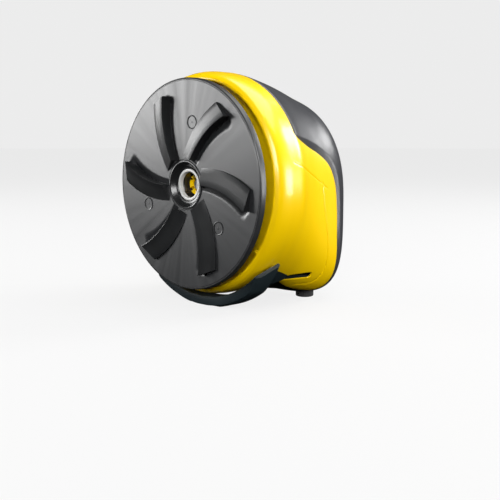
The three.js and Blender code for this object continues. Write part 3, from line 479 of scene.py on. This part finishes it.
HUB_GLOSS = 14.2
FACE_INNER, FACE_OUTER = 16, 63.5
BLADE_COUNT = 6
BLADE_FOOT = ((-1.4, 18.3), (9.5, 39.4), (29.4, 49.1))
BLADE_CREST = ((8.6, 15.1), (20.5, 33.5), (39.3, 40.7))
SCOOP_DEPTH = (1.6, 3.2)
SCOOP_WIDTH = (3.4, 6.2)
SCOOP_BEHIND = 2.0  # how far a hollow runs on under its own blade
SCOOP_FADE = 0.1
CREST_SAMPLES = 60


def turned(bm, profile, steps, across=0.0, height=0.0, closed=False):
    """Spins a profile of (radius, depth) once about a line along Y."""
    verts = [bm.verts.new(at(across + r, depth, height)) for r, depth in profile]
    pairs = list(zip(verts, verts[1:])) + ([(verts[-1], verts[0])] if closed else [])
    edges = [bm.edges.new(pair) for pair in pairs]
    bmesh.ops.spin(bm, geom=verts + edges, cent=at(across, 0, height), axis=(0, 1, 0),
                   angle=2 * math.pi, steps=steps, use_merge=True)
    bmesh.ops.remove_doubles(bm, verts=bm.verts, dist=0.001 * MM)
    bmesh.ops.recalc_face_normals(bm, faces=bm.faces)


def streaked_black_painted_fans(name, colour, shade):
    """Black nylon with faint streaks running out from the hub: they change its gloss, and they also
    shift its colour as painted highlight fans.
    """
    material = moulded(name, colour, shade, 0.27, spread=0.04, mottle=25, grain=3000, depth=0.06)
    nodes, links = material.node_tree.nodes, material.node_tree.links
    place = next(n for n in nodes if n.type == "TEX_COORD")
    centred = nodes.new("ShaderNodeMapping")
    centred.inputs["Location"].default_value = (0, 0, -SPINDLE_HEIGHT)
    parts = nodes.new("ShaderNodeSeparateXYZ")
    links.new(place.outputs["Object"], centred.inputs["Vector"])
    links.new(centred.outputs["Vector"], parts.inputs["Vector"])
    angle = nodes.new("ShaderNodeMath")
    angle.operation = "ARCTAN2"
    links.new(parts.outputs["Z"], angle.inputs[0])
    links.new(parts.outputs["X"], angle.inputs[1])
    streaks_and_painted_fans = nodes.new("ShaderNodeTexNoise")
    streaks_and_painted_fans.noise_dimensions = "1D"
    streaks_and_painted_fans.inputs["Scale"].default_value = 9
    streaks_and_painted_fans.inputs["Detail"].default_value = 5
    links.new(angle.outputs["Value"], streaks_and_painted_fans.inputs["W"])
    gloss = next(n for n in nodes if n.type == "MAP_RANGE")
    add = nodes.new("ShaderNodeMath")
    add.operation = "MULTIPLY_ADD"
    add.inputs[1].default_value = 0.16
    links.new(streaks_and_painted_fans.outputs["Fac"], add.inputs[0])
    links.new(gloss.outputs["Result"], add.inputs[2])
    links.new(add.outputs["Value"], nodes["Principled BSDF"].inputs["Roughness"])
    mix = next(n for n in nodes if n.type == "MIX")
    # The streaks also set the colour: painted highlight fans running out from the hub.
    links.new(streaks_and_painted_fans.outputs["Fac"], mix.inputs["Factor"])
    return material


def on_curve(points, t):
    """A place on a quadratic curve with one handle."""
    start, handle, end = (Vector(point) for point in points)
    return start * (1 - t) ** 2 + handle * 2 * t * (1 - t) + end * t * t


def part_way(ends, t):
    return ends[0] + (ends[1] - ends[0]) * t


def scoop_at(flat):
    """Depth of the hollow that runs ahead of each blade's crest, at a place on the face."""
    deepest = 0.0
    for tooth in range(BLADE_COUNT):
        here = Matrix.Rotation(math.radians(360 / BLADE_COUNT * tooth), 2) @ flat
        away = [(crest - here).length for crest in crest_line]
        nearest = int(np.argmin(away))
        share = nearest / CREST_SAMPLES
        ahead = crest_line[min(nearest + 1, CREST_SAMPLES)] - crest_line[max(nearest - 1, 0)]
        offset = here - crest_line[nearest]
        behind = ahead.x * offset.y - ahead.y * offset.x > 0
        width = SCOOP_BEHIND if behind else part_way(SCOOP_WIDTH, share)
        run_out = max(0.0, 1 - away[nearest] / width)
        to_end = min(1.0, (1 - share) / SCOOP_FADE)
        rounding = 2 - run_out if behind else 1
        deepest = max(deepest, part_way(SCOOP_DEPTH, share) * run_out * rounding * to_end)
    return deepest


crest_line = [on_curve(BLADE_CREST, i / CREST_SAMPLES) for i in range(CREST_SAMPLES + 1)]
# The disc's material carries painted highlight fans as well as its gloss streaks.
disc_nylon = streaked_black_painted_fans("disc_nylon", (0.026, 0.027, 0.029), (0.016, 0.017, 0.018))
bm = bmesh.new()
turned(bm, DISC_PROFILE, DISC_STEPS, closed=True)
for v in bm.verts:
    flat = Vector((v.co.x, 0, v.co.z - SPINDLE_HEIGHT))
    if flat.length < 2 * HEX_MARK * MM:
        turn = math.atan2(flat.z, flat.x) % (math.pi / 3) - math.pi / 6
        reach = HEX_FLATS / 2 / math.cos(turn) * MM
        v.co += flat.normalized() * (reach - flat.length)
    elif abs(v.co.y - DISC_FACE) < 0.01 * MM and FACE_INNER * MM < flat.length < FACE_OUTER * MM:
        v.co.y += scoop_at(Vector((flat.x, flat.z)) / MM) * MM
bmesh.ops.recalc_face_normals(bm, faces=bm.faces)
for face in bm.faces:
    middle = face.calc_center_median()
    face.material_index = int(math.hypot(middle.x, middle.z - SPINDLE_HEIGHT) < HUB_GLOSS * MM)
hub_black = moulded("hub_black", (0.014, 0.0145, 0.015), (0.009, 0.0095, 0.01), 0.26, depth=0.03)
plate = piece("disc_plate", bm, "disc", disc_nylon, ["scraper_disc"], sharp=25)
plate.data.materials.append(hub_black)

# Blades: six curved saw teeth moulded on the disc's face. Each climbs from its trailing foot
# to a hard crest and drops sheer on the leading side; its outer end is cut square.
BLADE_STEPS = 24
FOOT_HEIGHT = (0.2, 1.6)
CREST_HEIGHT = (4.0, 4.6)
BLADE_SECTION = (
    (0, 1.0, 0), (0, 0, 0.9), (0.03, 0, 1.05), (0.3, 0.28, 0.75), (0.62, 0.6, 0.4), (0.94, 0.93, 0.07),
    (0.975, 1.0, 0), (1.0, 0.97, 0), (0.995, -1, 0),
)


def swept(bm, rings):
    """A closed bar through rings of places, with both of its ends capped."""
    verts = [bm.verts.new(place) for place in rings[0]]
    loop = [bm.edges.new((a, b)) for a, b in zip(verts, verts[1:] + verts[:1])]
    bm.faces.new(verts)
    for places in rings[1:]:
        made = bmesh.ops.extrude_edge_only(bm, edges=loop)["geom"]
        verts = [g for g in made if isinstance(g, bmesh.types.BMVert)]
        for v, place in zip(verts, places):
            v.co = place
        loop = [g for g in made if isinstance(g, bmesh.types.BMEdge)
                and g.verts[0] in verts and g.verts[1] in verts]
    bm.faces.new(verts)


blade_black = moulded("blade_black", (0.017, 0.018, 0.019), (0.011, 0.0115, 0.012), 0.34, mottle=80,
                      grain=3000, depth=0.08)
bm = bmesh.new()
for tooth in range(BLADE_COUNT):
    turn = Matrix.Rotation(math.radians(-360 / BLADE_COUNT * tooth), 2)
    rings = []
    for step in range(BLADE_STEPS + 1):
        t = step / BLADE_STEPS
        foot, crest = on_curve(BLADE_FOOT, t), on_curve(BLADE_CREST, t)
        places = []
        low, high = part_way(FOOT_HEIGHT, t), part_way(CREST_HEIGHT, t)
        floor = part_way(SCOOP_DEPTH, t) + 0.5
        for number, (share, of_crest, of_foot) in enumerate(BLADE_SECTION):
            rise = high * of_crest + low * of_foot
            if number in (0, len(BLADE_SECTION) - 1):
                rise = -floor if number else -1.0
            flat = turn @ foot.lerp(crest, share)
            places.append(at(flat.x, -rise, flat.y))
        rings.append(places)
    swept(bm, rings)
bmesh.ops.recalc_face_normals(bm, faces=bm.faces)
piece("disc_blades", bm, "disc", blade_black, ["scraper_disc"], sharp=22)

# Gate marks: three shallow beads with a centre point, left on the face where the mould was fed.
MARK_REACH = 38.7
MARK_TURNS = (80.1, -39.9, -159.9)
MARK_PROFILE = ((3.45, 0.2), (3.55, -0.25), (3.9, -0.35), (4.15, -0.25), (4.25, 0.2))
POINT_PROFILE = ((0, -0.3), (0.4, -0.25), (0.6, 0.1), (0, 0.1))

bm = bmesh.new()
for turn in MARK_TURNS:
    x, z = (MARK_REACH * f(math.radians(turn)) for f in (math.cos, math.sin))
    turned(bm, MARK_PROFILE, 48, x, z, closed=True)
    turned(bm, POINT_PROFILE, 24, x, z)
piece("disc_marks", bm, "disc", blade_black, ["scraper_disc"])

# Hub sleeve: a turned light alloy ring pressed into the disc's bore, brushed round its face.
SLEEVE_PROFILE = ((7.9, 5.1), (7.9, 3.3), (8.15, 2.9), (8.5, 2.7), (9.4, 2.7), (9.75, 2.85),
                  (9.8, 3.2), (9.8, 5.1))

sleeve_alloy = moulded("sleeve_alloy", (0.62, 0.62, 0.6), (0.5, 0.5, 0.49), 0.34, mottle=500, depth=0.05)
bm = bmesh.new()
turned(bm, SLEEVE_PROFILE, 96, closed=True)
piece("sleeve_ring", bm, "disc", sleeve_alloy, ["disc_hub_sleeve"])

# Start lever: a black glass-filled nylon crescent under the collar, with an arm at each end
# that lies in the slot of its cheek and turns on a steel pin.
LEVER_INNER, LEVER_TIP, LEVER_OUTER = 71.2, 73.5, 78.0
LEVER_FRONT, LEVER_BACK = 13.0, 26.0
LEVER_FROM, LEVER_CORNER = 42.0, 56.0
LEVER_SKEW = (7.0, -2.0)  # degrees by which the tips lean on at the front and back
ARM_START = 37.0
LEVER_STEPS = 72
FLOOR_HEIGHT = -76.7
HANDS = ((1, "right"), (-1, "left"))
LUG = ((23.5, -49.5), (27, -51), (30.4, -52.3), (34, -53.6), (37.4, -54.6), (38.2, -57.8), (34.5, -59),
       (31, -60), (27, -60), (23.5, -60))
ARM = ((33, -57.6), (37.3, -58.1), (41.6, -58.6), (48, -58.4), (55, -58.1), (61.9, -57.9), (61.9, -59.1),
       (55, -59.6), (48, -60.1), (40, -60), (33, -59.8))

lever_nylon = moulded("lever_nylon", (0.017, 0.026, 0.03), (0.011, 0.017, 0.02), 0.34, mottle=70,
                      grain=2600, depth=0.08)


def side_plate(bm, outline, inner, outer_at, side, edge):
    """A side outline given thickness from "inner" out to where "outer_at" says, edges softened."""
    verts = [bm.verts.new(at(side * inner, depth, height)) for depth, height in outline]
    face = bm.faces.new(verts)
    made = bmesh.ops.extrude_face_region(bm, geom=[face])["geom"]
    for v in (g for g in made if isinstance(g, bmesh.types.BMVert)):
        depth, height = ((v.co.y - DISC_FACE) / MM, (v.co.z - SPINDLE_HEIGHT) / MM)
        v.co.x = side * outer_at(depth, height) * MM
    whole = set(verts) | {g for g in made if isinstance(g, bmesh.types.BMVert)}
    faces = {f for v in whole for f in v.link_faces}
    bmesh.ops.recalc_face_normals(bm, faces=list(faces))
    sharp = [e for f in faces for e in f.edges if len(e.link_faces) == 2 and e.calc_face_angle() > 1.0]
    bmesh.ops.bevel(bm, geom=list(set(sharp)), offset=edge * MM, offset_type="OFFSET", segments=2,
                    profile=0.5, affect="EDGES", material=-1)


bm = bmesh.new()
rings = []
for step in range(LEVER_STEPS + 1):
    degrees = LEVER_FROM + (180 - 2 * LEVER_FROM) * step / LEVER_STEPS
    from_end = min(degrees, 180 - degrees) - LEVER_FROM
    grown = min(from_end / (LEVER_CORNER - LEVER_FROM), 1)
    outer = LEVER_TIP + (LEVER_OUTER - LEVER_TIP) * grown
    angle = -math.radians(degrees)
    places = []
    for radius, depth in ((LEVER_INNER, LEVER_FRONT + 0.4), (LEVER_INNER + 0.4, LEVER_FRONT),
                          (outer - 2.2, LEVER_FRONT), (outer - 1.2, LEVER_FRONT + 0.35),
                          (outer, LEVER_FRONT + 2.2), (outer, LEVER_BACK - 0.8),
                          (outer - 0.8, LEVER_BACK), (LEVER_INNER + 0.4, LEVER_BACK),
                          (LEVER_INNER, LEVER_BACK - 0.4)):
        back = (depth - LEVER_FRONT) / (LEVER_BACK - LEVER_FRONT)
        skew = (LEVER_SKEW[0] * (1 - back) + LEVER_SKEW[1] * back) * (1 - grown)
        turned_on = angle - math.radians(skew if degrees < 90 else -skew)
        height = max(radius * math.sin(turned_on), FLOOR_HEIGHT)
        places.append(at(radius * math.cos(turned_on), depth, height))
    rings.append(places)
swept(bm, rings)
bmesh.ops.recalc_face_normals(bm, faces=bm.faces)
piece("lever_bar", bm, "lever", lever_nylon, ["start_lever"])


def lug_reach(depth, height):
    """The lug stands out to just under the crescent's outer face."""
    return min(54.0, math.sqrt((LEVER_OUTER - 2.8) ** 2 - height * height))


for side, hand in HANDS:
    bm = bmesh.new()
    side_plate(bm, LUG, ARM_START, lug_reach, side, 0.4)
    side_plate(bm, ARM, ARM_START, lambda depth, height: skin_across(depth, height) - 0.5, side, 0.3)
    piece(f"lever_arm_{hand}", bm, "lever", lever_nylon, ["start_lever"])

# Slot walls: flat ribs of the housing just inside each slot, so that grit can't get in. They are black,
# not the housing's yellow, as painted shade that keeps the slots dark.
SLOT_SHADE_WALL = ((31, -51.5), (64, -51.5), (64, -62.5), (50, -62.5), (38, -60.5), (31, -60.5))
WALL_INNER, WALL_OUTER = 34.6, 35.6
for side, hand in HANDS:
    bm = bmesh.new()
    side_plate(bm, SLOT_SHADE_WALL, WALL_INNER, lambda depth, height: WALL_OUTER, side, 0.2)
    # The black nylon finish on these walls is painted shade in the slots.
    piece(f"slot_shade_wall_{hand}", bm, "housing", lever_nylon, ["front_housing"])

# Power button: a dished black cap that stands just proud of the back, with a turned ring in
# its face; it slides on its stem against a coil spring.
BUTTON_PROFILE = (
    (0, 98.75), (11.4, 98.75), (11.4, 99.9), (9.7, 100), (9.7, 103.4), (9.45, 104.2), (9.0, 104.65),
    (8.4, 104.8), (7.6, 104.8), (7.3, 104.6), (7.0, 104.35), (6.6, 104.45), (5, 104.2), (2.5, 104.0),
    (0, 103.95),
)
button_black = moulded("button_black", (0.022, 0.022, 0.024), (0.014, 0.014, 0.015), 0.3, depth=0.05)
bm = bmesh.new()
turned(bm, BUTTON_PROFILE, 96, 0, BUTTON_HEIGHT)
piece("button_cap", bm, "button", button_black, ["power_button"])

# Status light: a domed acrylic light pipe pressed in from behind.
LENS_PROFILE = (
    (0, 97), (3, 97), (3, 98.3), (2.2, 98.4), (2.2, 103.1), (1.8, 103.5), (1.0, 103.75), (0, 103.8),
)
lens_acrylic = moulded("lens_acrylic", (0.8, 0.88, 0.92), (0.7, 0.8, 0.86), 0.12, mottle=300, depth=0.01,
                       coat=0.5)
bm = bmesh.new()
turned(bm, LENS_PROFILE, 48, 0, LENS_HEIGHT)
piece("lens_dome", bm, "housing", lens_acrylic, ["status_lens"])

# Socket flap: a soft black rubber leaf with a pull tab and grip ribs, hinged on its top edge,
# with a short plug behind that fills the mouth of the charging socket.
FLAP_LOW, FLAP_HIGH = (-8, 101.3, -48.6), (8, 102.9, -35.5)
FLAP_PLUG = ((0, 100.1), (2.1, 100.1), (2.4, 100.4), (2.4, 101.8), (0, 101.8))
FLAP_RIBS, RIB_PITCH = 3, 1.3
HINGE_RADIUS, HINGE_DEPTH, HINGE_HEIGHT = 0.75, 102.1, -34.8
flap_rubber = moulded("flap_rubber", (0.02, 0.02, 0.021), (0.012, 0.012, 0.013), 0.72, mottle=120,
                      grain=2200, depth=0.25)
bm = bmesh.new()
soft_block(bm, FLAP_LOW, FLAP_HIGH, 0.5)
soft_block(bm, (-3, 101.4, -49.0), (3, 102.8, -47), 0.4)
soft_block(bm, (-8, 101.5, -36.2), (8, 102.7, -34.6), 0.3)
for i in range(FLAP_RIBS):
    soft_block(bm, (-4, 102.4, -47.2 + RIB_PITCH * i), (4, 103.2, -46.5 + RIB_PITCH * i), 0.2)
turned(bm, FLAP_PLUG, 48, 0, SOCKET_HEIGHT)
barrel = bmesh.ops.create_cone(bm, cap_ends=True, segments=24, radius1=HINGE_RADIUS * MM,
                               radius2=HINGE_RADIUS * MM, depth=16 * MM)["verts"]
bmesh.ops.rotate(bm, cent=(0, 0, 0), matrix=Matrix.Rotation(math.pi / 2, 3, "Y"), verts=barrel)
bmesh.ops.translate(bm, vec=at(0, HINGE_DEPTH, HINGE_HEIGHT), verts=barrel)
piece("flap_leaf", bm, "charge_flap", flap_rubber, ["socket_cover"])

# Rear feet: two rubber buttons pressed into the underside, level with the lever's flat.
FOOT_PLACE, FOOT_DEPTH = 27, 82
FOOT_PROFILE = ((0, -76.7), (5.0, -76.7), (5.6, -76.5), (6.0, -76.0), (6.0, -71.5), (0, -71.5))
foot_rubber = moulded("foot_rubber", (0.024, 0.024, 0.025), (0.015, 0.015, 0.016), 0.8, mottle=150,
                      grain=1800, depth=0.3)
for side, hand in HANDS:
    bm = bmesh.new()
    centre = at(side * FOOT_PLACE, FOOT_DEPTH, 0)
    verts = [bm.verts.new(at(side * FOOT_PLACE + r, FOOT_DEPTH, height)) for r, height in FOOT_PROFILE]
    edges = [bm.edges.new(pair) for pair in zip(verts, verts[1:])]
    bmesh.ops.spin(bm, geom=verts + edges, cent=centre, axis=(0, 0, 1), angle=2 * math.pi, steps=64,
                   use_merge=True)
    bmesh.ops.remove_doubles(bm, verts=bm.verts, dist=0.001 * MM)
    bmesh.ops.recalc_face_normals(bm, faces=bm.faces)
    piece(f"foot_{hand}", bm, "housing", foot_rubber, [f"rear_foot_{hand}"])

# Works inside the shells: these keep their own solids and only take a finish, each from the
# stuff the real one is made of.
def brushed_metal(name, colour, shade, roughness, scale=900):
    """Worked metal: fine random scratches change its tone and its gloss."""
    material = moulded(name, colour, shade, roughness, spread=0.08, mottle=scale, grain=4000, depth=0.05)
    material.node_tree.nodes["Principled BSDF"].inputs["Metallic"].default_value = 1.0
    return material


steel = brushed_metal("steel", (0.55, 0.56, 0.58), (0.42, 0.43, 0.45), 0.3)
can_steel = brushed_metal("can_steel", (0.62, 0.63, 0.64), (0.5, 0.51, 0.52), 0.36, 200)
bronze = brushed_metal("bronze", (0.55, 0.33, 0.13), (0.42, 0.24, 0.09), 0.38)
acetal = moulded("acetal", (0.75, 0.75, 0.72), (0.66, 0.66, 0.63), 0.42, mottle=120)
case_nylon = moulded("case_nylon", (0.03, 0.03, 0.033), (0.02, 0.02, 0.022), 0.45, depth=0.1)
cell_film = moulded("cell_film", (0.04, 0.16, 0.42), (0.03, 0.12, 0.34), 0.28, mottle=200, coat=0.3)
board_mask = moulded("board_mask", (0.02, 0.12, 0.05), (0.012, 0.08, 0.035), 0.35, mottle=400)
lead_vinyl = moulded("lead_vinyl", (0.4, 0.02, 0.02), (0.3, 0.015, 0.015), 0.4, mottle=300)
seal_rubber = moulded("seal_rubber", (0.02, 0.02, 0.02), (0.012, 0.012, 0.012), 0.7, depth=0.2)
INSIDE = {
    "drive_dog": yellow_abs, "drive_spindle": steel, "spindle_circlip": steel, "output_gear": acetal,
    "motor_pinion": bronze, "motor_shaft": steel, "motor_can": can_steel, "motor_end_bell": case_nylon,
    "gear_case": case_nylon, "cell_holder": case_nylon, "control_board": board_mask,
    "button_switch": case_nylon, "button_spring": steel, "charge_socket": case_nylon,
    "lever_switch": case_nylon, "cell_front": cell_film, "cell_rear": cell_film, "cell_strap": steel,
    "spindle_seal": seal_rubber, "front_bearing": steel, "rear_bush": bronze,
}
for name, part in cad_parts.items():
    if part.hide_render:
        continue
    if name in INSIDE:
        finish = INSIDE[name]
    elif "lead" in name:
        finish = lead_vinyl
    else:
        finish = steel
    part.data.materials.clear()
    part.data.materials.append(finish)

# Floor, light and camera: a plain pale sweep; a low broad light on the left, a soft one behind
# on the right and three fills; a world that is brighter to the camera than to the object.
PALE = (0.84, 0.84, 0.84)
sweep = moulded("pale_sweep", (0.06, 0.06, 0.06), (0.055, 0.055, 0.055), 0.95, mottle=2, grain=400,
                depth=0.005)
sweep.node_tree.nodes["Principled BSDF"].inputs["Emission Color"].default_value = (*PALE, 1)
sweep.node_tree.nodes["Principled BSDF"].inputs["Emission Strength"].default_value = 0.97
bm = bmesh.new()
bmesh.ops.create_grid(bm, x_segments=2, y_segments=2, size=40)
floor_mesh = bpy.data.meshes.new("floor")
bm.to_mesh(floor_mesh)
bm.free()
floor_mesh.materials.append(sweep)
floor = bpy.data.objects.new("floor", floor_mesh)
bpy.context.scene.collection.objects.link(floor)
floor.visible_glossy = False
floor.visible_diffuse = False

world = bpy.data.worlds.new("studio")
bpy.context.scene.world = world
world.use_nodes = True
sky, rays = world.node_tree.nodes, world.node_tree.links
seen = sky.new("ShaderNodeBackground")
seen.inputs["Color"].default_value = (*PALE, 1)
light_path = sky.new("ShaderNodeLightPath")
choose = sky.new("ShaderNodeMixShader")
direction = sky.new("ShaderNodeTexCoord")
split = sky.new("ShaderNodeSeparateXYZ")
rays.new(direction.outputs["Generated"], split.inputs["Vector"])
fade = sky.new("ShaderNodeMapRange")
fade.inputs["From Min"].default_value = -0.22
fade.inputs["From Max"].default_value = 0.12
fade.inputs["To Min"].default_value = 0.03
fade.inputs["To Max"].default_value = 0.4
rays.new(split.outputs["Z"], fade.inputs["Value"])
rays.new(fade.outputs["Result"], sky["Background"].inputs["Strength"])
rays.new(light_path.outputs["Is Camera Ray"], choose.inputs["Fac"])
rays.new(sky["Background"].outputs["Background"], choose.inputs[1])
rays.new(seen.outputs["Background"], choose.inputs[2])
rays.new(choose.outputs["Shader"], sky["World Output"].inputs["Surface"])

AIM = at(0, 50, 0)


def soft_light(name, place, width, height, power):
    data = bpy.data.lights.new(name, "AREA")
    data.shape = "RECTANGLE"
    data.size, data.size_y = width, height
    data.energy = power
    light = bpy.data.objects.new(name, data)
    light.location = place
    light.rotation_mode = "QUATERNION"
    light.rotation_quaternion = (AIM - Vector(place)).to_track_quat("-Z", "Y")
    bpy.context.scene.collection.objects.link(light)
    light.visible_camera = False


soft_light("left_low", (-1.15, -0.72, 0.27), 1.0, 0.34, 15)
soft_light("right_tall", (1.0, 0.62, 0.12), 0.42, 0.42, 9)
soft_light("front_right", (0.9, -1.0, 0.6), 0.6, 0.6, 19)
soft_light("overhead", (0.2, 0.3, 1.2), 1.2, 1.0, 14)
soft_light("behind", (0.55, 1.1, 0.7), 0.5, 0.5, 13)

camera_data = bpy.data.cameras.new("camera")
camera_data.lens = 57.6
camera_data.sensor_width = 36
camera = bpy.data.objects.new("camera", camera_data)
bpy.context.scene.collection.objects.link(camera)
camera.matrix_world = Matrix((
    (0.7115, -0.0899, 0.6969, 0.3755),
    (0.7027, 0.0911, -0.7057, -0.37355),
    (0.0, 0.9918, 0.1280, 0.1000),
    (0.0, 0.0, 0.0, 1.0),
))
bpy.context.scene.camera = camera
bpy.context.scene.view_settings.view_transform = "Standard"
